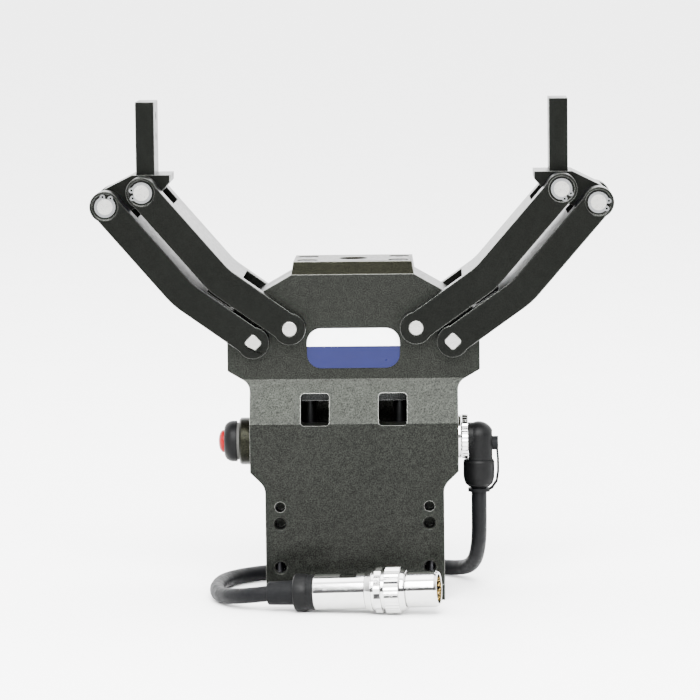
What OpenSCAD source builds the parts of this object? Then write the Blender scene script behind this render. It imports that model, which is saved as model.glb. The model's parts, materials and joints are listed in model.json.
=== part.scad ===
// Two-finger parallel gripper with an enclosed screw-and-rack drive.
// Frame: origin at the middle of the mounting face, +Z towards the fingers, front faces -Y.
// Drawn with the fingers fully open.

/* [Body] */
// Width of the lower body
body_w = 69; // [68:0.5:70]
// Depth of the lower body, and of the arms
body_d = 46; // [45.6:0.2:47]
// Width of the waist, where the button and the socket sit
waist_w = 80.4; // [80:0.2:81]
// Width of the head that carries the arms
head_w = 97.4; // [96.4:0.2:98.4]
// Depth of the head
head_d = 32; // [31.8:0.1:32.2]
// Thickness of the mounting flange
base_t = 6; // [5:0.5:6]
// Height of the head, without its cap
head_top = 125.8; // [125.6:0.1:126]
// Thickness of the cap
cap_t = 5; // [4.6:0.1:5]
// Width of each window above the waist
window_w = 11; // [9:0.5:12]

/* [Mounting] */
// Pitch circle of the four flange screws
flange_pcd = 50; // [48:1:50]
// Radius of each tapped flange hole
flange_hole_r = 2.5; // [2:0.1:2.5]
// Distance between the two columns of tapped holes on the front
side_hole_gap = 57.6; // [56:0.2:58]
// Radius of each tapped hole on the front
side_hole_r = 2.1; // [1.6:0.1:2.1]

/* [Linkage] */
// Distance between an arm's two pins
arm_len = 77; // [76.8:0.1:77]
// Angle of the open arms from the vertical
open_angle = 46.7; // [46.5:0.1:46.8]
// Width of an arm, seen from the front
arm_w = 11.2; // [10.6:0.2:11.2]
// Sideways play between a fork and what it holds
play = 0.3; // [0.2:0.05:0.3]
// Radius of the upper pins and of the drive shafts
pin_r = 3; // [2.9:0.05:3]
// Radial running clearance of every pivot
run = 0.05; // [0.03:0.01:0.08]

/* [Fingers] */
// Height of a finger above its base
finger_h = 28; // [24:0.5:32]
// Thickness of a finger
finger_t = 7.2; // [7:0.1:7.6]
// Depth of a finger
finger_d = 22; // [18:0.5:23]

/* [Drive] */
// Module of the rack and of its gears
tooth_m = 1; // [0.99:0.01:1]
// Teeth on each gear
gear_n = 12; // [12:1:12]
// Backlash along the pitch line
backlash = 0.12; // [0.1:0.01:0.2]

/* [Button and connector] */
// Radius of the button's domed bezel
bezel_r = 8; // [7.5:0.1:8.2]
// Radius of the red push cap
push_r = 4.4; // [4:0.1:4.6]
// Radius of the socket's coupling ring on the other side
socket_r = 8.6; // [8.2:0.1:8.8]
// Radius of the cable
cable_r = 3; // [2.8:0.1:3]

/* [Hidden] */
$fn = 48;
e = 0.01;

// Heights along the body, from the flange up.
step_z = 44.4;
waist_z = 50;
band_low_z = 68.7;
neck_z = 83.7;
band_high_z = 85.4;
head_low_z = 88.7;
shoulder_z = 111.5;
cap_low_x = 23.6;
cap_high_x = 22.8;

// Linkage.
inner_at = [24.3, 105.5];
pin_gap = [14.05, -5.25];
outer_at = inner_at + pin_gap;
inner_pin_r = 2.75;
bend = [26.8, 19];
bend_r = 28;
low_end_r = 6.2;
high_end_r = 6;
low_slot_r = 26.3;
high_slot_r = 12.5;
base_d = 24.4;
reach = arm_len * [sin(open_angle), cos(open_angle)];
clip_pocket_r = 5;
clip_pocket = 1;

// Drive.
gear_r = tooth_m * gear_n / 2;
pressure = 25;
rack_pitch_x = outer_at[0] - gear_r;
rack_root_x = rack_pitch_x - 1.25 * tooth_m;
rack_in_x = 28;
rack_d = 12;
bar_z = 76;
bar_h = 10;
bar_d = 16;
rack_top = 112;
cavity_x = 34.6;
cavity_y = 11.5;
low_cavity = [47, 39];
plate_z = 48;
plate_t = 3;
cavity_top = 113;
screw_r = 3.5;
journal_r = 2;
bearing_r = 6.5;
bearing_t = 5;
rod_x = 17.5;
rod_r = 2.5;
bush_r = 4.5;
motor_r = 14;
label_z = 97.3;
label_t = 0.48;
label_half = [17.9, 7.7];
label_corner = 5.5;
window_x = 15;
window_z = 68;
window_h = 12;
window_corner = 1.4;
shell_head_r = 2.75;
shell_head_h = 3;
cap_screw_at = [17.6, 8.5];
cap_head_z = head_top + cap_t - 3;
flange_screw_at = [29.5, 18.5];
side_hole_z = [13, 30];
dowel_z = 36.6;
dowel_r = 2;
socket_in_r = 5.2;
// Finger, about the inner upper pin.
finger_x = -4.4;
foot_z = 3.9;
base_top = 6.2;
finger_screw_at = [7, 5];
finger_screw_r = 0.9;
finger_hole_z = 28.5;
finger_hole_gap = 8;
finger_hole_r = 1.65;
clip_y = body_d / 2 - 0.55;

// Button and socket.
button_z = 59.5;
barrel_r = 6;
socket_z = 60.6;

// Elbow, cable and plug.
elbow_x = 48.1;
elbow_r = 5.9;
elbow_low_z = 51.7;
nut_low_z = 40.9;
elbow_flat_x = waist_w / 2 + 3.9;
snout_r = 5.5;
plug_at = [-22.3, -47, 7.3];
plug_turn = [0, -2.8, -10];
insert_r = 5.6;
insert_z = [44, 49.5];
cable_sides = 10;
cable_route = [
    [48.1, 0, 42.1], [48.1, 0, 37.6], [48.1, 0.8, 32.3], [48.1, 2.9, 26.5], [48, 6.2, 20.9],
    [47.6, 10.7, 15.6], [46.8, 15.9, 10.9], [45.4, 21.6, 7.4], [43.3, 27.2, 5], [40.2, 32.2, 3.7],
    [35.9, 36.4, 3.1], [30.5, 39.6, 3.1], [24.2, 41.4, 3.1], [10, 40.8, 3.1], [-4, 38, 3.1],
    [-15, 35.3, 3.1], [-25, 32.2, 3.1], [-34, 28.2, 3.1], [-42, 22.8, 3.1], [-48.4, 15.6, 3.1],
    [-52.4, 6.6, 3.1], [-53.9, -3.6, 3.1], [-53.9, -14, 3.1], [-52.5, -23.8, 3.2],
    [-49.5, -32.2, 3.8], [-44.6, -39.1, 4.8], [-38.4, -43.5, 5.9], [-31.3, -45.4, 6.9]
];

// ---- Helpers ----

function unit(v) = v / norm(v);
function turn(v, a) = [v[0] * cos(a) - v[1] * sin(a), v[0] * sin(a) + v[1] * cos(a)];
function left_of(v) = [-v[1], v[0]];

// Arc that rounds corner b, between a and c, with radius r.
function corner(a, b, c, r, n = 8) =
    r == 0 ? [b] :
    let(u = unit(a - b), w = unit(c - b), half = acos(u * w) / 2,
        mid = b + unit(u + w) * r / sin(half), t = r / tan(half),
        p = b + u * t - mid, side = cross([u[0], u[1]], [w[0], w[1]]) > 0 ? -1 : 1)
    [for (i = [0 : n]) mid + turn(p, side * i * (180 - 2 * half) / n)];

// Closed outline from [x, y, corner radius] points.
function rounded(p) =
    let(n = len(p), at = [for (q = p) [q[0], q[1]]])
    [for (i = [0 : n - 1]) each corner(at[(i + n - 1) % n], at[i], at[(i + 1) % n], p[i][2])];

// Right half of an outline and its mirror image, as one closed list.
function both_sides(p) =
    concat(p, [for (i = [len(p) - 1 : -1 : 0]) [-p[i][0], p[i][1], p[i][2]]]);

// Front outline (X, Z), pushed along Y and centred on it.
module front_slab(d) rotate([90, 0, 0]) linear_extrude(d, center = true) children();

// Side outline (Y, Z), pushed along X and centred on it.
module side_slab(w) rotate([90, 0, 90]) linear_extrude(w, center = true) children();

// Cylinder along Y from y0 to y1, at x and z.
module y_rod(x, z, y0, y1, r) translate([x, y0, z]) rotate([-90, 0, 0]) cylinder(y1 - y0, r = r);

// Cylinder along X from x0 to x1, at height z.
module x_rod(x0, x1, z, r) translate([x0, 0, z]) rotate([0, 90, 0]) cylinder(x1 - x0, r = r);

module z_rod(x, y, z0, z1, r) translate([x, y, z0]) cylinder(z1 - z0, r = r);

module both() {
    children();
    mirror([1, 0, 0]) children();
}

module four(x, y) for (i = [-1, 1], j = [-1, 1]) translate([i * x, j * y, 0]) children();

// Socket-head screw pointing down, with its head's underside at z = 0.
module socket_screw(r, head_r, head_h, length) {
    difference() {
        cylinder(head_h, r = head_r);
        translate([0, 0, head_h * 0.45]) cylinder(head_h, r = head_r * 0.52, $fn = 6);
    }
    translate([0, 0, -length]) cylinder(length + e, r = r);
}

// ---- Housing ----

function body_half() = [
    [body_w / 2, base_t, 0], [body_w / 2, step_z, 6], [waist_w / 2, waist_z, 0],
    [waist_w / 2, neck_z, 4.6], [head_w / 2, head_low_z, 0.8], [head_w / 2, shoulder_z, 0.8],
    [cap_low_x, head_top, 0]
];

function side_half() = [
    [body_d / 2, base_t, 0], [body_d / 2, band_low_z, 0], [head_d / 2, band_high_z, 0],
    [head_d / 2, head_top, 0]
];

module housing_block() intersection() {
    front_slab(body_d + 2) polygon(rounded(both_sides(body_half())));
    side_slab(head_w + 2) polygon(rounded(both_sides(side_half())));
}

// Everything that is cut from both shells.
module housing_hollow() {
    low_h = plate_z + plate_t - base_t;
    translate([-low_cavity[0] / 2, -low_cavity[1] / 2, base_t - 1])
        cube([low_cavity[0], low_cavity[1], low_h + 1]);
    // Groove for the motor plate.
    translate([-25.6, -low_cavity[1] / 2, plate_z]) cube([51.2, low_cavity[1], plate_t]);
    translate([-cavity_x, -cavity_y, plate_z]) cube([2 * cavity_x, 2 * cavity_y, cavity_top - plate_z]);
    both() {
        y_rod(outer_at[0], outer_at[1], -cavity_y, cavity_y, gear_r + 1.7);
        y_rod(inner_at[0], inner_at[1], -head_d, head_d, bush_r);
        y_rod(outer_at[0], outer_at[1], -head_d, head_d, bush_r);
        z_rod(rod_x, 0, cavity_top - 1, cavity_top + 4, rod_r);
        for (y = cap_screw_at[1] * [-1, 1]) z_rod(cap_screw_at[0], y, head_top - 9, head_top + 1, 2);
    }
    z_rod(0, 0, cavity_top - 1, cavity_top + bearing_t, bearing_r);
    x_rod(-waist_w, -cavity_x + 1, button_z, barrel_r);
    x_rod(cavity_x - 1, waist_w, socket_z, barrel_r);
    four(flange_screw_at[0], flange_screw_at[1]) z_rod(0, 0, base_t - 1, base_t + 12, 1.5);
}

// Where the screws that join the two shells go: [x, z, face].
function shell_screw_at() = [[28.8, 21.5, body_d / 2], [42.5, 91.5, head_d / 2], [29, 117.6, head_d / 2]];

// Rounded window through the front wall, above the waist.
module window() translate([window_x, -(body_d + cavity_y) / 2, window_z])
    front_slab(body_d - cavity_y + 2) polygon(rounded([for (c = [[-1, 0], [1, 0], [1, 1], [-1, 1]])
        [c[0] * window_w / 2, c[1] * window_h, window_corner]]));

module front_shell() color("#3d413c") difference() {
    intersection() {
        housing_block();
        translate([-head_w, -body_d, 0]) cube([2 * head_w, body_d, 2 * head_top]);
    }
    housing_hollow();
    both() {
        for (p = shell_screw_at()) y_rod(p[0], p[1], -8, 1, 1.5);
        window();
        for (z = side_hole_z) {
            y_rod(side_hole_gap / 2, z, -body_d / 2 - 1, -body_d / 2 + 9, side_hole_r);
            translate([side_hole_gap / 2, -body_d / 2 - e, z]) rotate([-90, 0, 0])
                cylinder(0.5, side_hole_r + 0.5, side_hole_r);
        }
        y_rod(side_hole_gap / 2, dowel_z, -body_d / 2 - 1, -body_d / 2 + 8, dowel_r);
    }
}

module rear_shell() color("#383c38") difference() {
    intersection() {
        housing_block();
        translate([-head_w, 0, 0]) cube([2 * head_w, body_d, 2 * head_top]);
    }
    housing_hollow();
    both() for (p = shell_screw_at()) {
        y_rod(p[0], p[1], -1, body_d, 1.5);
        y_rod(p[0], p[1], p[2] - shell_head_h - 0.2, body_d, shell_head_r + 0.1);
    }
}

module shell_screws() color("#2b2b2b") both() for (p = shell_screw_at())
    translate([p[0], p[2] - shell_head_h - 0.2, p[1]]) rotate([-90, 0, 0])
        socket_screw(1.5, shell_head_r, shell_head_h, p[2] - shell_head_h + 7.8);

module mounting_flange() color("#3d413c") difference() {
    translate([-body_w / 2, -body_d / 2, 0]) cube([body_w, body_d, base_t]);
    for (a = [45 : 90 : 315]) rotate(a) z_rod(flange_pcd / 2, 0, -1, base_t + 1, flange_hole_r);
    z_rod(0, 0, -1, 3, 10);
    z_rod(flange_pcd / 2, 0, -1, base_t + 1, 2);
    four(flange_screw_at[0], flange_screw_at[1]) {
        z_rod(0, 0, -1, base_t + 1, 1.5);
        translate([0, 0, -e]) cylinder(1.6, 3.1, 1.5);
    }
}

module flange_screws() color("#2b2b2b") four(flange_screw_at[0], flange_screw_at[1]) difference() {
    union() {
        translate([0, 0, 0.15]) cylinder(1.3, 2.75, 1.45);
        z_rod(0, 0, 0.2, base_t + 10, 1.48);
    }
    z_rod(0, 0, -1, 0.9, 1.1, $fn = 6);
}

module top_cap() color("#45443c") difference() {
    front_slab(head_d) polygon([[-cap_low_x, head_top], [cap_low_x, head_top],
        [cap_high_x, head_top + cap_t], [-cap_high_x, head_top + cap_t]]);
    four(cap_screw_at[0], cap_screw_at[1]) {
        z_rod(0, 0, head_top - 1, head_top + cap_t + 1, 2);
        z_rod(0, 0, cap_head_z, head_top + cap_t + 1, 4.1);
    }
    z_rod(0, 0, head_top + cap_t - 1, head_top + cap_t + 1, 5.5);
    z_rod(0, 0, head_top - 1, head_top + cap_t + 1, 1.65);
}

module cap_screws() color("#2e2e2e") four(cap_screw_at[0], cap_screw_at[1])
    translate([0, 0, cap_head_z]) socket_screw(2, 3.5, 2.7, cap_head_z - head_top + 8.5);

module front_label() color("#24409a") translate([0, -(head_d + label_t) / 2, label_z])
    front_slab(label_t) polygon(rounded([for (c = [[-1, -1], [1, -1], [1, 1], [-1, 1]])
        [c[0] * label_half[0], c[1] * label_half[1], label_corner]]));

// ---- Pivots and drive ----

module bush(x, z, y0, y1, outer, inner) difference() {
    y_rod(x, z, y0, y1, outer);
    y_rod(x, z, y0 - 1, y1 + 1, inner);
}

module pivot_bushes() color("#b5803a") both() for (s = [[-head_d / 2, -cavity_y], [cavity_y, head_d / 2]]) {
    bush(outer_at[0], outer_at[1], s[0], s[1], bush_r, pin_r + run);
    bush(inner_at[0], inner_at[1], s[0], s[1], bush_r, inner_pin_r + run);
}

// Involute gear outline, tooth spaces on the -X axis.
function inv(a) = tan(a) * 180 / PI - a;
function tooth_half(r) = let(rb = gear_r * cos(pressure))
    (PI * tooth_m / 2 - backlash) / 2 / gear_r * 180 / PI + inv(pressure) - inv(acos(min(1, rb / r)));
function gear_outline() =
    let(rb = gear_r * cos(pressure), tip = gear_r + tooth_m, root = gear_r - 1.25 * tooth_m,
        flank = [for (i = [0 : 4]) rb + (tip - rb) * i / 4])
    [for (k = [0 : gear_n - 1]) let(mid = 360 / gear_n * (k + 0.5)) each concat(
        [turn([root, 0], mid - tooth_half(rb))],
        [for (r = flank) turn([r, 0], mid - tooth_half(r))],
        [for (i = [4 : -1 : 0]) turn([flank[i], 0], mid + tooth_half(flank[i]))],
        [turn([root, 0], mid + tooth_half(rb))])];

// Round rod with four flats, for the ends of a drive shaft and for their sockets.
module squared_rod(half, gap) intersection() {
    y_rod(0, 0, -half, half, pin_r + gap);
    rotate([0, 45, 0]) cube([5 + 2 * gap, 2 * half, 5 + 2 * gap], center = true);
}

// Gear and shaft of one outer arm, with squared shaft ends.
module drive() color("#c9c9c7") union() {
    translate([outer_at[0], 0, outer_at[1]]) {
        front_slab(10) polygon(gear_outline());
        y_rod(0, 0, -head_d / 2, head_d / 2, pin_r);
        squared_rod(body_d / 2 - 0.2, 0);
    }
}

// One rack tooth (X, Z) about its own middle.
function rack_tooth(z) = let(t = (PI * tooth_m / 2 - backlash) / 2, a = tooth_m, d = 1.25 * tooth_m,
    s = tan(pressure)) [[rack_root_x, z - t - d * s], [rack_pitch_x + a, z - t + a * s],
    [rack_pitch_x + a, z + t - a * s], [rack_root_x, z + t + d * s]];

module crosshead() color("#2f3330") difference() {
    union() {
        translate([-rack_root_x, -bar_d / 2, bar_z]) cube([2 * rack_root_x, bar_d, bar_h]);
        both() front_slab(rack_d) polygon(concat(
            [[rack_in_x, bar_z], [rack_root_x, bar_z]],
            [for (k = [-1 : 3]) each rack_tooth(outer_at[1] + k * PI * tooth_m)],
            [[rack_root_x, rack_top], [rack_in_x, rack_top]]));
    }
    z_rod(0, 0, bar_z - 1, bar_z + bar_h + 1, 5);
    both() z_rod(rod_x, 0, bar_z - 1, bar_z + bar_h + 1, 4);
    four(4.9, 4.9) z_rod(0, 0, bar_z + 3, bar_z + bar_h + 1, 1);
}

module crosshead_nut() color("#c09a45") difference() {
    union() {
        z_rod(0, 0, bar_z, bar_z + bar_h, 5);
        z_rod(0, 0, bar_z + bar_h, bar_z + bar_h + 3, 9.5);
    }
    z_rod(0, 0, bar_z - 1, bar_z + bar_h + 4, screw_r + run);
    four(4.9, 4.9) z_rod(0, 0, bar_z, bar_z + bar_h + 4, 1);
}

module nut_screws() color("#2e2e2e") four(4.9, 4.9) translate([0, 0, bar_z + bar_h + 3])
    socket_screw(0.98, 1.8, 1.8, 9);

module guide_bushes() color("#b5803a") both() difference() {
    z_rod(rod_x, 0, bar_z, bar_z + bar_h, 4);
    z_rod(rod_x, 0, bar_z - 1, bar_z + bar_h + 1, rod_r + run);
}

module guide_rods() color("#55585a") both() z_rod(rod_x, 0, plate_z + plate_t, cavity_top + 4, rod_r);

// Screw with its thread drawn as grooves.
module lead_screw() color("#b9bbbd") rotate_extrude() polygon(concat(
    [[0, 59.5], [journal_r, 59.5], [journal_r, 66], [screw_r - 0.7, 66]],
    [for (z = [66 : 2 : 108]) each
        [[screw_r - 0.7, z + 0.3], [screw_r, z + 0.8], [screw_r, z + 1.3], [screw_r - 0.7, z + 1.8]]],
    [[screw_r - 0.7, cavity_top - 0.5], [journal_r, cavity_top - 0.5],
        [journal_r, cavity_top + bearing_t - 0.2], [0, cavity_top + bearing_t - 0.2]]));

module bearing_ring(r0, r1) difference() {
    z_rod(0, 0, cavity_top + 0.2, cavity_top + bearing_t - 0.2, r1);
    z_rod(0, 0, cavity_top - 1, cavity_top + bearing_t + 1, r0);
}

module bearing_outer() color("#c4c6c8") bearing_ring(4.6, bearing_r);
module bearing_inner() color("#c4c6c8") bearing_ring(journal_r, 4.3);

module shaft_coupling() color("#9fa3a6") difference() {
    z_rod(0, 0, 53.5, 65, 6);
    z_rod(0, 0, 52, 66, journal_r);
}

module gearbox_shaft() color("#c4c6c8") z_rod(0, 0, 42, 58.5, journal_r);

module motor_plate() color("#8b8f92") difference() {
    translate([-25.4, -19.3, plate_z]) cube([50.8, 38.6, plate_t]);
    z_rod(0, 0, plate_z - 1, plate_z + 4, 6);
    four(7, 7) z_rod(0, 0, plate_z - 1, plate_z + 4, 1.25);
}

module gearbox() color("#7d8184") difference() {
    union() {
        z_rod(0, 0, 32, plate_z, motor_r);
        z_rod(0, 0, plate_z - e, plate_z + plate_t, 5.9);
    }
    z_rod(0, 0, 41.5, plate_z + 5, journal_r + run);
    four(7, 7) z_rod(0, 0, plate_z - 5, plate_z + 1, 1.25);
}

module gearbox_screws() color("#2e2e2e") four(7, 7) translate([0, 0, plate_z + plate_t])
    socket_screw(1.23, 2.1, 2, 7);

module motor() color("#6f7376") z_rod(0, 0, 11, 32, motor_r);
module motor_encoder() color("#1d1f20") z_rod(0, 0, base_t + 0.5, 11, 12);

module control_board() {
    color("#1f5a35") translate([-21, 16.6, 8]) cube([42, 1.6, 38]);
    color("#202326") {
        for (x = [-19, 13]) translate([x, 14.6, 12]) cube([6, 2, 9]);
        for (x = [-17, 15]) y_rod(x, 38, 12.2, 16.6, 2.5);
        translate([-6, 18.2, 14]) cube([12, 1.1, 12]);
        for (z = [32, 38]) translate([-12, 18.2, z]) cube([24, 1, 3]);
    }
}

// ---- Arms and fingers ----

// Outline of an arm about its lower pin.
function arm_line() = rounded_line([0, 0], bend, reach, bend_r);
function rounded_line(a, b, c, r) = concat([a], corner(a, b, c, r), [c]);
function band(line, w) =
    let(n = len(line), side = [for (i = [0 : n - 1])
        left_of(unit(line[min(i + 1, n - 1)] - line[max(i - 1, 0)])) * w / 2])
    concat([for (i = [0 : n - 1]) line[i] + side[i]], [for (i = [n - 1 : -1 : 0]) line[i] - side[i]]);

module arm_blank() difference() {
    union() {
        front_slab(body_d) polygon(band(arm_line(), arm_w));
        y_rod(0, 0, -body_d / 2, body_d / 2, low_end_r);
        y_rod(reach[0], reach[1], -body_d / 2, body_d / 2, high_end_r);
    }
    y_rod(0, 0, -head_d / 2 - play, head_d / 2 + play, low_slot_r);
    y_rod(reach[0], reach[1], -base_d / 2 - play, base_d / 2 + play, high_slot_r);
    // Pockets for the retaining rings.
    for (s = [-1, 1]) y_rod(reach[0], reach[1], s * body_d / 2 - clip_pocket, s * body_d / 2 + clip_pocket,
        clip_pocket_r);
}

module outer_arm() color("#3a3d3a") translate([outer_at[0], 0, outer_at[1]]) difference() {
    arm_blank();
    squared_rod(body_d, 0.02);
    y_rod(reach[0], reach[1], -body_d, body_d, pin_r + run);
}

// The pivot of this arm and the finger closes the linkage.
module inner_arm() color("#3a3d3a") translate([inner_at[0], 0, inner_at[1]]) difference() {
    arm_blank();
    y_rod(0, 0, -body_d, body_d, inner_pin_r + 0.02);
    y_rod(reach[0], reach[1], -body_d, body_d, pin_r + 2 * run);
}

module inner_pin() color("#dcdcda")
    y_rod(inner_at[0], inner_at[1], -body_d / 2 + 0.2, body_d / 2 - 0.2, inner_pin_r);

// Places its children at the inner upper pin.
module at_finger() translate([inner_at[0] + reach[0], 0, inner_at[1] + reach[1]]) children();

module finger_base() color("#3a3d3a") at_finger() difference() {
    union() {
        front_slab(base_d) polygon([[-10.24, base_top], [4.4, base_top], [15.4, 0.7], [17.8, -1.9],
            [19.05, -5.25],
            [12.3, -9.93], [-1.75, -4.68], [-6.6, -0.8], [-10.24, 3.4]]);
        y_rod(0, 0, -base_d / 2, base_d / 2, 5);
        y_rod(pin_gap[0], pin_gap[1], -base_d / 2, base_d / 2, 5);
    }
    y_rod(0, 0, -body_d, body_d, pin_r);
    y_rod(pin_gap[0], pin_gap[1], -body_d, body_d, pin_r);
    translate([finger_x, -finger_d / 2, foot_z]) cube([finger_t, finger_d, 8]);
    for (y = finger_screw_at[0] * [-1, 1])
        translate([0, y, 0]) x_rod(-11, finger_x + 1, finger_screw_at[1], finger_screw_r);
}

module finger() color("#3a3d3a") at_finger() difference() {
    translate([finger_x, -finger_d / 2, foot_z])
        cube([finger_t, finger_d, base_top - foot_z + finger_h]);
    for (z = [finger_hole_z - finger_hole_gap, finger_hole_z])
        x_rod(finger_x - 1, finger_x + finger_t + 1, z, finger_hole_r);
}

module finger_screws() color("#2b2b2b") at_finger() for (y = finger_screw_at[0] * [-1, 1])
    translate([0, y, 0]) difference() {
        x_rod(-10, finger_x, finger_screw_at[1], finger_screw_r);
        x_rod(-11, -9, finger_screw_at[1], 0.5, $fn = 6);
    }

module finger_pins() color("#dcdcda") at_finger() for (p = [[0, 0], pin_gap]) difference() {
    y_rod(p[0], p[1], -body_d / 2 + 0.1, body_d / 2 - 0.1, pin_r);
    for (s = [-1, 1]) translate([0, s * clip_y, 0]) bush(p[0], p[1], -0.4, 0.4, pin_r + 1, pin_r - 0.3);
}

// Retaining ring with two lugs, one at each end of the angle a.
module clip(a) difference() {
    union() {
        y_rod(0, 0, -0.35, 0.35, 4.05);
        for (d = [-23, 23]) y_rod(3.9 * cos(a + d), 3.9 * sin(a + d), -0.35, 0.35, 1);
    }
    y_rod(0, 0, -1, 1, pin_r - 0.28);
    front_slab(2) polygon([[0, 0], 8 * [cos(a - 8), sin(a - 8)], 8 * [cos(a + 8), sin(a + 8)]]);
    for (d = [-23, 23]) y_rod(3.95 * cos(a + d), 3.95 * sin(a + d), -1, 1, 0.45);
}

module finger_clips(a) color("#8c8f90") at_finger() for (s = [-1, 1], k = [0, 1])
    translate([pin_gap[0] * k, s * clip_y, pin_gap[1] * k]) clip(a[k]);

// ---- Button ----

// Turned piece on the left side: profile of [radius, distance out of the waist].
module left_turned(z, p) translate([-waist_w / 2, 0, z]) rotate([0, -90, 0]) rotate_extrude() polygon(p);
module right_turned(z, p) translate([waist_w / 2, 0, z]) rotate([0, 90, 0]) rotate_extrude() polygon(p);

module button_collar() color("#45443c") left_turned(button_z, [[barrel_r, 0], [8.8, 0], [8.8, 0.5],
    [9.2, 0.6], [9.2, 4.2], [8.5, 4.9], [barrel_r, 4.9]]);

module button_seal() color("#8d8f8a") left_turned(button_z, [[barrel_r, 4.9], [7.3, 4.9], [7.3, 5.9],
    [barrel_r, 5.9]]);

module button_bezel() color("#1b1d1d") left_turned(button_z, concat(
    [[push_r + 0.1, -9], [barrel_r, -9], [barrel_r, 5.9], [bezel_r, 5.9]],
    [for (a = [0 : 10 : 80]) [push_r + 0.5 + (bezel_r - push_r - 0.5) * cos(a), 7.4 + 3.5 * sin(a)]],
    [[push_r + 0.1, 10.9]]));

module push_cap() color("#c5242f") left_turned(button_z, concat(
    [[0, -5], [push_r, -5], [push_r, 11.3]],
    [for (a = [15 : 15 : 90]) [push_r * cos(a), 11.3 + 1.9 * sin(a)]]));

module panel_nuts() color("#a8abad") {
    translate([-cavity_x, 0, button_z]) rotate([0, 90, 0]) difference() {
        rotate(30) cylinder(3, r = 7.8, $fn = 6);
        translate([0, 0, -1]) cylinder(5, r = barrel_r);
    }
    translate([cavity_x - 3, 0, socket_z]) rotate([0, 90, 0]) difference() {
        rotate(30) cylinder(3, r = 7.4, $fn = 6);
        translate([0, 0, -1]) cylinder(5, r = socket_in_r);
    }
}

// ---- Socket, elbow and cable ----

// Round outline of radius r with n notches of the given depth.
module notched(r, n, depth) polygon([for (i = [0 : 2 * n - 1])
    (r - (i % 2) * depth) * [cos(180 / n * i), sin(180 / n * i)]]);

module panel_socket() color("#d6d7d8") right_turned(socket_z, [[0, -13], [socket_in_r, -13],
    [socket_in_r, -4.9], [barrel_r, -4.9], [barrel_r, 0], [socket_r, 0], [socket_r, 0.9],
    [socket_r - 0.3, 1.2], [0, 1.2]]);

module elbow_ring() color("#d6d7d8") translate([waist_w / 2 + 1.4, 0, socket_z]) rotate([0, 90, 0])
    difference() {
        linear_extrude(2.3) notched(socket_r, 30, 0.35);
        translate([0, 0, -1]) cylinder(4, r = snout_r + run);
    }

module elbow_body() color("#1d1f1f") {
    x_rod(waist_w / 2 + 1.2, elbow_x, socket_z, snout_r);
    difference() {
        translate([elbow_x, 0, 0]) {
            z_rod(0, 0, elbow_low_z, socket_z, elbow_r);
            translate([0, 0, socket_z]) sphere(r = elbow_r);
        }
        // Flats towards the coupling ring and behind the tether's button.
        translate([elbow_flat_x - 10, -10, elbow_low_z - 1]) cube([10, 20, 20]);
        translate([elbow_x + 5.3, -10, elbow_low_z - 1]) cube([5, 20, 30]);
    }
}

// Strap that hangs from a button on the elbow and loops round the cable under the nut.
module elbow_tether() color("#191b1b") {
    x_rod(elbow_x + 5.3, elbow_x + 7.6, nut_low_z + 17.1, 2.7);
    translate([elbow_x, 0, nut_low_z]) {
        front_slab(2.6) polygon(band([[7.1, 15.2], [7.5, 11], [7.5, 6], [6.9, 2.2], [5.1, -0.4],
            [3.1, -1.4]], 0.9));
        difference() {
            z_rod(0, 0, -1.9, -0.6, 4.3);
            z_rod(0, 0, -3, 0, cable_r + 0.1);
        }
    }
}

module elbow_nut() color("#151717") translate([elbow_x, 0, 0]) rotate_extrude() polygon([[0, nut_low_z],
    [4, nut_low_z], [5.3, nut_low_z + 1.2], [6, nut_low_z + 3.4], [6.1, nut_low_z + 5],
    [6.1, elbow_low_z - 1], [5.6, elbow_low_z], [0, elbow_low_z]]);

function ring(p, t) = let(n = unit(cross(t, [1, 1, 1])), b = cross(t, n))
    [for (k = [0 : cable_sides - 1]) p + cable_r * (cos(360 / cable_sides * k) * n
        + sin(360 / cable_sides * k) * b)];

module cable() color("#1a1c1d") {
    n = len(cable_route);
    m = cable_sides;
    rings = [for (i = [0 : n - 1]) each ring(cable_route[i],
        unit(cable_route[min(i + 1, n - 1)] - cable_route[max(i - 1, 0)]))];
    polyhedron(rings, concat(
        [[for (k = [m - 1 : -1 : 0]) k]],
        [for (i = [0 : n - 2], k = [0 : m - 1]) [i * m + k, i * m + (k + 1) % m,
            (i + 1) * m + (k + 1) % m, (i + 1) * m + k]],
        [[for (k = [0 : m - 1]) (n - 1) * m + k]]));
}

// Places its children on the plug's axis, with local Z pointing out of its mouth.
module at_plug() translate(plug_at) rotate(plug_turn) rotate([0, 90, 0]) children();

module plug_boot() color("#222526") at_plug() rotate_extrude() polygon([[0, -10.6], [4.1, -10.6],
    [4.4, -10.2], [4.6, -5], [4.7, 0], [0, 0]]);

module plug_clamp() color("#151717") at_plug() rotate_extrude() polygon([[0, 0], [6.7, 0], [7.15, 0.5],
    [7.15, 3.6], [6.75, 5], [6.6, 5.2], [6.75, 5.4], [6.75, 7.8], [0, 7.8]]);

module plug_shell() color("#dddedf") at_plug() difference() {
    rotate_extrude() polygon([[0, 7.8], [6.7, 7.8], [6.9, 8.1], [6.9, 27.7], [6.2, 27.7], [6.2, 43.7],
        [6.8, 43.7], [6.8, 54.4], [6.3, 55.5], [0, 55.5]]);
    translate([0, 0, insert_z[0]]) cylinder(12, r = insert_r);
    translate([-8, -10, 18]) cube([2.3, 20, 6.4]);
}

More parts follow.
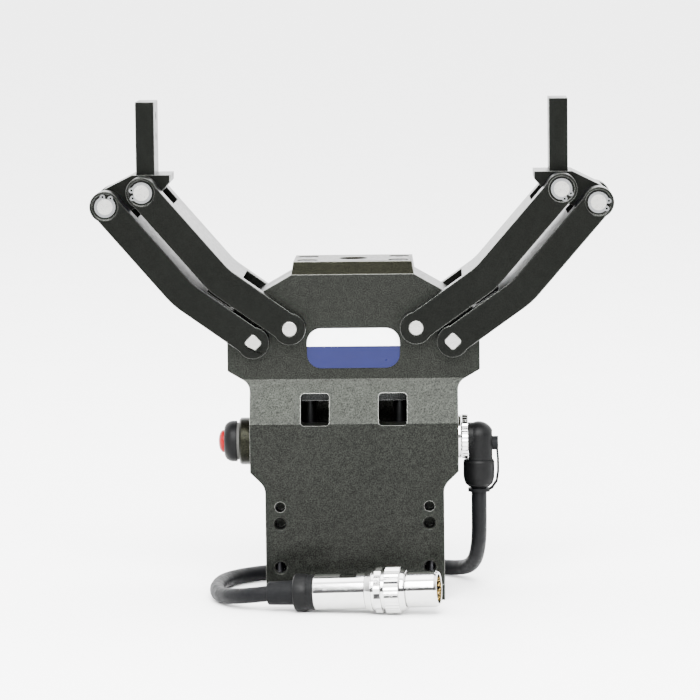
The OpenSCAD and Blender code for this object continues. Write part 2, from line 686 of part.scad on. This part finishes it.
module plug_ring() color("#dddedf") at_plug() difference() {
    union() {
        translate([0, 0, 27.9]) cylinder(2.6, 7.4, 8.2);
        translate([0, 0, 30]) cylinder(12, r = 7.7);
        translate([0, 0, 31.6]) linear_extrude(2.6) notched(8.8, 14, 0.6);
        translate([0, 0, 35.6]) linear_extrude(5.6) notched(9, 36, 0.4);
        translate([0, 0, 41]) cylinder(2.4, 8.3, 7.5);
    }
    translate([0, 0, 20]) cylinder(30, r = 6.2 + 2 * run);
}

module plug_insert() color("#17191a") at_plug() z_rod(0, 0, insert_z[0], insert_z[1], insert_r);

module plug_pins() color("#c9a24a") at_plug() {
    for (a = [20 : 40 : 340]) rotate(a) translate([4, 0, insert_z[1]]) pin();
    for (a = [0 : 120 : 240]) rotate(a) translate([1.6, 0, insert_z[1]]) pin();
}

// One contact pin with a tapered tip.
module pin() {
    cylinder(3.6, r = 0.45);
    translate([0, 0, 3.6]) cylinder(0.4, 0.45, 0.2);
}

module right_drive() drive();
module right_outer_arm() outer_arm();
module right_inner_arm() inner_arm();
module right_inner_pin() inner_pin();
module right_finger_base() finger_base();
module right_finger() finger();
module right_finger_pins() finger_pins();
module right_finger_clips() finger_clips([-50, -15]);
module right_finger_screws() finger_screws();
module left_drive() mirror([1, 0, 0]) drive();
module left_outer_arm() mirror([1, 0, 0]) outer_arm();
module left_inner_arm() mirror([1, 0, 0]) inner_arm();
module left_inner_pin() mirror([1, 0, 0]) inner_pin();
module left_finger_base() mirror([1, 0, 0]) finger_base();
module left_finger() mirror([1, 0, 0]) finger();
module left_finger_pins() mirror([1, 0, 0]) finger_pins();
module left_finger_clips() mirror([1, 0, 0]) finger_clips([-8, 100]);
module left_finger_screws() mirror([1, 0, 0]) finger_screws();

mounting_flange();
front_shell();
rear_shell();
top_cap();
front_label();
cap_screws();
shell_screws();
flange_screws();
pivot_bushes();
motor();
motor_encoder();
gearbox();
gearbox_shaft();
motor_plate();
gearbox_screws();
shaft_coupling();
lead_screw();
bearing_outer();
bearing_inner();
guide_rods();
crosshead();
crosshead_nut();
nut_screws();
guide_bushes();
control_board();
button_collar();
button_seal();
button_bezel();
push_cap();
panel_nuts();
panel_socket();
elbow_ring();
elbow_body();
elbow_tether();
elbow_nut();
cable();
plug_boot();
plug_clamp();
plug_shell();
plug_ring();
plug_insert();
plug_pins();
right_drive();
right_outer_arm();
right_inner_arm();
right_inner_pin();
right_finger_base();
right_finger();
right_finger_pins();
right_finger_clips();
right_finger_screws();
left_drive();
left_outer_arm();
left_inner_arm();
left_inner_pin();
left_finger_base();
left_finger();
left_finger_pins();
left_finger_clips();
left_finger_screws();
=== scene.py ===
"""Looks of the two-finger gripper: materials, softened edges, the free cable, light and camera.

Metres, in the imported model's own frame: +Z up, and the front faces -Y.
"""
import json
import math

import bpy
from mathutils import Euler, Matrix, Vector


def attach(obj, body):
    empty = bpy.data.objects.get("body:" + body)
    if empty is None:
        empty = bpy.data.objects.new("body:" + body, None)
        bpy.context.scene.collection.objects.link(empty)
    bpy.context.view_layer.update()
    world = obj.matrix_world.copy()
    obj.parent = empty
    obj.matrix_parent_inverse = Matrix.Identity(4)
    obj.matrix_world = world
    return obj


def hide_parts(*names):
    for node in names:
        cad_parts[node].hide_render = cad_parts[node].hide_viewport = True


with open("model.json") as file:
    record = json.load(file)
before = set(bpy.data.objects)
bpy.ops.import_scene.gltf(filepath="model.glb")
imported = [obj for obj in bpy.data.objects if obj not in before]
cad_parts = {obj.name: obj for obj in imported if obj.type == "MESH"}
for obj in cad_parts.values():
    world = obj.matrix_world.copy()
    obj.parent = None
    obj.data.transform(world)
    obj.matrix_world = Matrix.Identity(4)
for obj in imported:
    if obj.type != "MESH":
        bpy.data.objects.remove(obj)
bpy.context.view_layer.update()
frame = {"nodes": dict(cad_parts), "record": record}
NODES = frame["nodes"]
MM = 0.001


# ---- Camera ----


def make_camera():
    """Long lens, a little above the object and to its right, looking slightly down."""
    place = (35 * MM, -1520 * MM, 256 * MM)
    yaw, pitch, roll = (math.radians(a) for a in (1.383, -6.05, -0.657))
    data = bpy.data.cameras.new("camera")
    data.sensor_width = 36
    data.lens = 201.9
    data.clip_start = 0.05
    data.clip_end = 100
    camera = bpy.data.objects.new("camera", data)
    aim = Euler((math.pi / 2 + pitch, 0, yaw)).to_matrix() @ Matrix.Rotation(roll, 3, "Z")
    camera.matrix_world = Matrix.Translation(place) @ aim.to_4x4()
    bpy.context.scene.collection.objects.link(camera)
    bpy.context.scene.camera = camera


make_camera()


# ---- Cable ----

# The cable's centreline in metres, from the elbow's gland nut, round the back, to the plug's boot.
CABLE_ROUTE = [
    (0.0481, 0, 0.0421), (0.0481, 0, 0.0376), (0.0481, 0.0008, 0.0323), (0.0481, 0.0029, 0.0265),
    (0.048, 0.0062, 0.0209), (0.0476, 0.0107, 0.0156), (0.0468, 0.0159, 0.0109),
    (0.0454, 0.0216, 0.0074), (0.0433, 0.0272, 0.005), (0.0402, 0.0322, 0.0037),
    (0.0359, 0.0364, 0.0031), (0.0305, 0.0396, 0.0031), (0.0242, 0.0414, 0.0031),
    (0.01, 0.0408, 0.0031), (-0.004, 0.038, 0.0031), (-0.015, 0.0353, 0.0031),
    (-0.025, 0.0322, 0.0031), (-0.034, 0.0282, 0.0031), (-0.042, 0.0228, 0.0031),
    (-0.0484, 0.0156, 0.0031), (-0.0524, 0.0066, 0.0031), (-0.0539, -0.0036, 0.0031),
    (-0.0539, -0.014, 0.0031), (-0.0525, -0.0238, 0.0032), (-0.0495, -0.0322, 0.0038),
    (-0.0446, -0.0391, 0.0048), (-0.0384, -0.0435, 0.0059), (-0.0313, -0.0454, 0.0069),
]
CABLE_R = 3 * MM


def make_cable():
    """One smooth round cable along the route, fixed to the housing in place of the model's own cable."""
    data = bpy.data.curves.new("cable_jacket", "CURVE")
    data.dimensions = "3D"
    # The radius of each point scales this, so that the outline of 1 becomes CABLE_R.
    data.bevel_depth = 1
    data.bevel_resolution = 7
    data.resolution_u = 10
    data.use_fill_caps = True
    line = data.splines.new("BEZIER")
    line.bezier_points.add(len(CABLE_ROUTE) - 1)
    for point, place in zip(line.bezier_points, CABLE_ROUTE):
        point.co = place
        point.radius = CABLE_R
        point.handle_left_type = "AUTO"
        point.handle_right_type = "AUTO"
    cable = bpy.data.objects.new("cable_jacket", data)
    bpy.context.scene.collection.objects.link(cable)
    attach(cable, "housing")
    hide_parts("cable")
    return cable


cable = make_cable()


# ---- Material tools ----

# Sockets of a colour Mix node, which share their names with its other kinds.
MIX_A, MIX_B, MIX_RESULT = 6, 7, 2


class Surface:
    """A Principled material with helpers that add noise, wear and bump to it."""

    def __init__(self, name, colour, metallic=0.0, roughness=0.5, **sockets):
        self.material = bpy.data.materials.new(name)
        self.material.use_nodes = True
        self.material.diffuse_color = (*colour, 1)
        self.tree = self.material.node_tree
        self.shader = self.tree.nodes["Principled BSDF"]
        self.shader.inputs["Base Color"].default_value = (*colour, 1)
        self.shader.inputs["Metallic"].default_value = metallic
        self.shader.inputs["Roughness"].default_value = roughness
        for socket, value in sockets.items():
            self.shader.inputs[socket.replace("_", " ")].default_value = value
        self.place = self.add("ShaderNodeTexCoord").outputs["Object"]
        self.colour = None
        self.base = colour
        self.roughness = roughness
        self.normal = None

    def add(self, kind, **settings):
        node = self.tree.nodes.new(kind)
        for key, value in settings.items():
            setattr(node, key, value)
        return node

    def link(self, source, target):
        self.tree.links.new(source, target)

    def noise(self, size, detail=3.0, stretch=(1, 1, 1)):
        """Noise whose blotches are about size metres across, stretched along the axes given."""
        mapping = self.add("ShaderNodeMapping")
        mapping.inputs["Scale"].default_value = [1 / (size * s) for s in stretch]
        self.link(self.place, mapping.inputs["Vector"])
        noise = self.add("ShaderNodeTexNoise")
        noise.inputs["Scale"].default_value = 1
        noise.inputs["Detail"].default_value = detail
        self.link(mapping.outputs["Vector"], noise.inputs["Vector"])
        return noise.outputs["Fac"]

    def spread(self, value, low, high, start=0.3, end=0.7):
        """Maps a 0-1 value from start..end to low..high."""
        node = self.add("ShaderNodeMapRange")
        self.link(value, node.inputs["Value"])
        for socket, number in (("From Min", start), ("From Max", end), ("To Min", low), ("To Max", high)):
            node.inputs[socket].default_value = number
        return node.outputs["Result"]

    def vary(self, value, amount, start=0.3, end=0.7):
        """Makes the colour lighter and darker by amount as value goes from start to end."""
        factor = self.spread(value, 1 - amount, 1 + amount, start, end)
        node = self.add("ShaderNodeVectorMath", operation="MULTIPLY")
        if self.colour is None:
            node.inputs[0].default_value = self.base
        else:
            self.link(self.colour, node.inputs[0])
        self.link(factor, node.inputs[1])
        self.colour = node.outputs["Vector"]

    def tint(self, value, colour):
        """Mixes another colour in where value is 1."""
        node = self.add("ShaderNodeMix", data_type="RGBA")
        self.link(value, node.inputs["Factor"])
        if self.colour is None:
            node.inputs[MIX_A].default_value = (*self.base, 1)
        else:
            self.link(self.colour, node.inputs[MIX_A])
        node.inputs[MIX_B].default_value = (*colour, 1)
        self.colour = node.outputs[MIX_RESULT]

    def rough(self, value, amount, start=0.3, end=0.7):
        """Varies the roughness by amount each way."""
        self.link(self.spread(value, self.roughness - amount, self.roughness + amount, start, end),
                  self.shader.inputs["Roughness"])

    def bump(self, value, height):
        """Raises the surface by value times height, in metres."""
        node = self.add("ShaderNodeBump")
        node.inputs["Strength"].default_value = 1
        node.inputs["Distance"].default_value = height
        self.link(value, node.inputs["Height"])
        if self.normal is not None:
            self.link(self.normal, node.inputs["Normal"])
        self.normal = node.outputs["Normal"]

    def edges(self, radius):
        """1 on edges within radius, where the rounded normal leaves the face's own, and 0 on flat faces."""
        bevel = self.add("ShaderNodeBevel", samples=4)
        bevel.inputs["Radius"].default_value = radius
        flat = self.add("ShaderNodeNewGeometry")
        dot = self.add("ShaderNodeVectorMath", operation="DOT_PRODUCT")
        self.link(bevel.outputs["Normal"], dot.inputs[0])
        self.link(flat.outputs["Normal"], dot.inputs[1])
        return self.spread(dot.outputs["Value"], 1, 0, start=0.80, end=0.97)

    def done(self):
        """Links what the helpers made to the shader, and gives the material."""
        if self.colour is not None:
            self.link(self.colour, self.shader.inputs["Base Color"])
        if self.normal is not None:
            self.link(self.normal, self.shader.inputs["Normal"])
        return self.material


# ---- Materials ----

# Lighter colour painted along the edges of the body: a painted highlight standing for light caught on the
# chamfers.
EDGE_HIGHLIGHT_PAINT = (0.2, 0.205, 0.19)


def anodised(name, colour, painted_highlight, roughness=0.37, grain=0.75):
    """Bead-blasted, anodised aluminium: fine light and dark grains, with a painted highlight on its edges.
    """
    s = Surface(name, colour, metallic=0.72, roughness=roughness, Specular_IOR_Level=0.1)
    fine = s.noise(0.42 * MM, detail=2)
    s.vary(fine, grain, 0.34, 0.66)
    s.vary(s.noise(2.4 * MM, detail=4), 0.12)
    s.vary(s.noise(28 * MM, detail=2), 0.07)
    # Painted highlight: the edges are tinted lighter, as if they caught the light.
    s.tint(s.edges(0.35 * MM), painted_highlight)
    s.rough(s.noise(1.6 * MM, detail=5), 0.05)
    s.bump(fine, 0.012 * MM)
    s.bump(s.noise(0.16 * MM, detail=1), 0.006 * MM)
    return s.done()


def steel(name, colour, roughness, stretch=(9, 1, 1), scratch=0.004 * MM):
    """Machined steel, with fine marks that run along the axis of the greatest stretch."""
    s = Surface(name, colour, metallic=1.0, roughness=roughness)
    marks = s.noise(0.14 * MM, detail=4, stretch=stretch)
    s.vary(marks, 0.12)
    s.vary(s.noise(5 * MM, detail=3), 0.06)
    s.rough(s.noise(1.1 * MM, detail=5), 0.06)
    s.bump(marks, scratch)
    return s.done()


def plated(name, colour, roughness):
    """Bright plating with faint clouding, hairline scratches and a trace of orange peel."""
    s = Surface(name, colour, metallic=1.0, roughness=roughness)
    s.vary(s.noise(3 * MM, detail=4), 0.05)
    s.rough(s.noise(0.5 * MM, detail=5, stretch=(6, 1, 1)), 0.04, 0.35, 0.75)
    s.bump(s.noise(0.09 * MM, detail=3, stretch=(12, 1, 1)), 0.0012 * MM)
    s.bump(s.noise(1.8 * MM, detail=2), 0.004 * MM)
    return s.done()


def moulded(name, colour, roughness, grain=0.3 * MM, height=0.008 * MM, **sockets):
    """Moulded plastic: a fine spark-eroded grain, with slightly shinier handled spots."""
    s = Surface(name, colour, roughness=roughness, Specular_IOR_Level=0.07, **sockets)
    texture = s.noise(grain, detail=3)
    s.vary(s.noise(4 * MM, detail=3), 0.12)
    s.vary(texture, 0.1)
    s.rough(s.noise(3 * MM, detail=4), 0.08)
    s.bump(texture, height)
    return s.done()


def rubbery(name, colour, roughness, stretch=(1, 1, 1)):
    """Extruded or moulded rubber: dull, a little dusty, with fine drag marks."""
    s = Surface(name, colour, roughness=roughness, Specular_IOR_Level=0.06)
    s.tint(s.spread(s.noise(1.3 * MM, detail=6), 0, 0.35, 0.5, 0.8), [c * 1.8 + 0.002 for c in colour])
    s.rough(s.noise(2.2 * MM, detail=4), 0.09)
    s.bump(s.noise(0.25 * MM, detail=4, stretch=stretch), 0.01 * MM)
    return s.done()


def two_tone_label():
    """Satin film, white above and blue below, parted by a straight line."""
    blue = (0.0015, 0.0028, 0.03)
    white = (0.78, 0.79, 0.8)
    s = Surface("label_film", blue, roughness=0.32, Specular_IOR_Level=0.15)
    height = s.add("ShaderNodeSeparateXYZ")
    s.link(s.place, height.inputs["Vector"])
    parting = 98.1 * MM
    blur = 0.06 * MM
    s.tint(s.spread(height.outputs["Z"], 0, 1, parting - blur, parting + blur), white)
    s.vary(s.noise(9 * MM, detail=2), 0.05)
    s.rough(s.noise(6 * MM, detail=2), 0.05)
    s.bump(s.noise(4 * MM, detail=1), 0.004 * MM)
    return s.done()


def circuit_board():
    """Green solder mask with paler tracks under it."""
    s = Surface("board_mask", (0.006, 0.055, 0.02), roughness=0.3, Coat_Weight=0.5)
    tracks = s.noise(1.1 * MM, detail=0, stretch=(7, 1, 1))
    s.tint(s.spread(tracks, 0, 0.6, 0.56, 0.6), (0.03, 0.13, 0.045))
    s.vary(s.noise(0.6 * MM, detail=3), 0.15)
    s.rough(s.noise(1 * MM, detail=4), 0.06)
    s.bump(tracks, 0.02 * MM)
    return s.done()


def make_materials():
    """One finished material for each slot of the record."""
    return {
        # The third colour of each anodised finish is its painted edge highlight.
        "housing": anodised("anodised_body", (0.008, 0.0087, 0.0074), EDGE_HIGHLIGHT_PAINT),
        "flange": anodised("anodised_flange", (0.008, 0.0087, 0.0074), EDGE_HIGHLIGHT_PAINT),
        "cap": anodised("anodised_brown", (0.006, 0.0062, 0.0038), (0.2, 0.2, 0.17)),
        "arms": anodised("anodised_arms", (0.0026, 0.0029, 0.0024), (0.14, 0.145, 0.135), 0.34, 0.4),
        "crosshead": anodised("anodised_black", (0.012, 0.013, 0.0125), (0.2, 0.2, 0.2)),
        "label": two_tone_label(),
        "black_screws": steel("black_oxide", (0.035, 0.035, 0.038), 0.4),
        "bright_steel": steel("ground_steel", (0.27, 0.268, 0.256), 0.3),
        "dark_steel": steel("dark_steel", (0.014, 0.0145, 0.015), 0.45),
        "spring_steel": steel("spring_steel", (0.12, 0.122, 0.125), 0.34),
        "motor_can": steel("satin_can", (0.32, 0.325, 0.33), 0.38, (1, 1, 12)),
        "bronze": steel("sintered_bronze", (0.42, 0.25, 0.1), 0.42, (1, 1, 1)),
        "brass": steel("turned_brass", (0.6, 0.42, 0.15), 0.28),
        "gold": plated("gold_plating", (0.78, 0.52, 0.16), 0.2),
        "chrome": plated("bright_chrome", (0.55, 0.55, 0.54), 0.1),
        "black_plastic": moulded("black_plastic", (0.0022, 0.0023, 0.0024), 0.46),
        "red_cap": moulded("red_plastic", (0.16, 0.0015, 0.003), 0.34, grain=0.9 * MM, height=0.003 * MM,
                           Coat_Weight=0.05),
        "seal": rubbery("grey_washer", (0.05, 0.05, 0.047), 0.55),
        "boot_rubber": rubbery("boot_rubber", (0.0025, 0.0027, 0.003), 0.56),
        "cable_jacket": rubbery("cable_rubber", (0.0028, 0.003, 0.0034), 0.5),
        "board": circuit_board(),
    }


MATERIALS = make_materials()


def wear(thing, slot_name):
    """Gives an object the material of one record slot, and nothing else."""
    thing.data.materials.clear()
    thing.data.materials.append(MATERIALS[slot_name])


for part in frame["record"]["subparts"]:
    wear(NODES[part["node"]], part["material_slot"])
wear(cable, "cable_jacket")


# ---- Softened edges ----


def smooth_group(angle):
    """Geometry nodes that shade smooth, with hard lines at edges sharper than angle."""
    group = bpy.data.node_groups.new("smooth_by_angle", "GeometryNodeTree")
    group.interface.new_socket("Geometry", in_out="INPUT", socket_type="NodeSocketGeometry")
    group.interface.new_socket("Geometry", in_out="OUTPUT", socket_type="NodeSocketGeometry")
    start = group.nodes.new("NodeGroupInput")
    end = group.nodes.new("NodeGroupOutput")
    faces = group.nodes.new("GeometryNodeSetShadeSmooth")
    lines = group.nodes.new("GeometryNodeSetShadeSmooth")
    lines.domain = "EDGE"
    lines.inputs["Shade Smooth"].default_value = False
    edge = group.nodes.new("GeometryNodeInputMeshEdgeAngle")
    sharper = group.nodes.new("FunctionNodeCompare")
    sharper.inputs["B"].default_value = angle
    for source, target in (
        (start.outputs[0], faces.inputs["Geometry"]),
        (faces.outputs[0], lines.inputs["Geometry"]),
        (edge.outputs["Unsigned Angle"], sharper.inputs["A"]),
        (sharper.outputs[0], lines.inputs["Selection"]),
        (lines.outputs[0], end.inputs[0]),
    ):
        group.links.new(source, target)
    return group


# Below the 22 degree edges of the sloped band, which stay crisp.
SMOOTH = smooth_group(math.radians(20))

# Width of the softened edge on each slot's parts.
EDGE = {
    "housing": 0.35 * MM, "flange": 0.35 * MM, "cap": 0.35 * MM, "arms": 0.35 * MM,
    "crosshead": 0.2 * MM, "label": 0.12 * MM, "black_screws": 0.12 * MM,
    "bright_steel": 0.15 * MM, "dark_steel": 0.15 * MM, "motor_can": 0.3 * MM,
    "black_plastic": 0.2 * MM, "chrome": 0.12 * MM, "red_cap": 0.15 * MM,
}


def soften(thing, width):
    """Joins the imported faces, rounds the edges and shades smoothly between them."""
    weld = thing.modifiers.new("weld", "WELD")
    weld.merge_threshold = 0.002 * MM
    flat = thing.modifiers.new("flat_faces", "DECIMATE")
    flat.decimate_type = "DISSOLVE"
    flat.angle_limit = math.radians(0.4)
    if width:
        bevel = thing.modifiers.new("soft_edge", "BEVEL")
        bevel.width = width
        bevel.segments = 2
        bevel.limit_method = "ANGLE"
        bevel.angle_limit = math.radians(34)
    shade = thing.modifiers.new("shade", "NODES")
    shade.node_group = SMOOTH


for part in frame["record"]["subparts"]:
    soften(NODES[part["node"]], EDGE.get(part["material_slot"], 0))


# ---- Floor and light ----


def make_floor():
    """Plain pale floor under the object, out to the horizon."""
    reach = 20
    mesh = bpy.data.meshes.new("floor")
    mesh.from_pydata([(-reach, -reach, 0), (reach, -reach, 0), (reach, reach, 0), (-reach, reach, 0)],
                     [], [(0, 1, 2, 3)])
    floor = bpy.data.objects.new("floor", mesh)
    floor.location.z = -0.05 * MM
    bpy.context.scene.collection.objects.link(floor)
    s = Surface("pale_floor", (0.86, 0.86, 0.86), roughness=0.6)
    s.vary(s.noise(60 * MM, detail=3), 0.01)
    mesh.materials.append(s.done())


def make_light(name, place, target, size, power):
    """Square soft light at place, turned towards target."""
    data = bpy.data.lights.new(name, "AREA")
    data.size = size
    data.energy = power
    light = bpy.data.objects.new(name, data)
    light.location = place
    light.rotation_euler = (Vector(target) - Vector(place)).to_track_quat("-Z", "Y").to_euler()
    bpy.context.scene.collection.objects.link(light)


def make_world():
    """Soft studio: white overhead and behind the object, and a dark room in front of it."""
    world = bpy.data.worlds.new("studio")
    bpy.context.scene.world = world
    world.use_nodes = True
    nodes = world.node_tree.nodes
    links = world.node_tree.links
    back = nodes["Background"]
    back.inputs["Strength"].default_value = 6
    place = nodes.new("ShaderNodeTexCoord")
    towards = nodes.new("ShaderNodeVectorMath")
    towards.operation = "DOT_PRODUCT"
    brightest = (0, 0.8, 0.6)
    towards.inputs[1].default_value = brightest
    ramp = nodes.new("ShaderNodeValToRGB")
    ramp.color_ramp.elements[0].color = (0.04, 0.04, 0.041, 1)
    ramp.color_ramp.elements[1].color = (1, 1, 1, 1)
    ramp.color_ramp.elements[0].position = 0.25
    ramp.color_ramp.elements[1].position = 0.7
    half = nodes.new("ShaderNodeMapRange")
    half.inputs["From Min"].default_value = -1
    links.new(place.outputs["Generated"], towards.inputs[0])
    links.new(towards.outputs["Value"], half.inputs["Value"])
    links.new(half.outputs["Result"], ramp.inputs["Fac"])
    links.new(ramp.outputs["Color"], back.inputs["Color"])


# Both lights aim at the middle of the object.
MIDDLE = (0, 0, 95 * MM)
make_floor()
make_world()
make_light("key", (0.0, -1.95, 1.65), MIDDLE, 1.9, 420)
make_light("top", (0.0, 0.15, 1.5), MIDDLE, 1.2, 30)

bpy.context.view_layer.update()
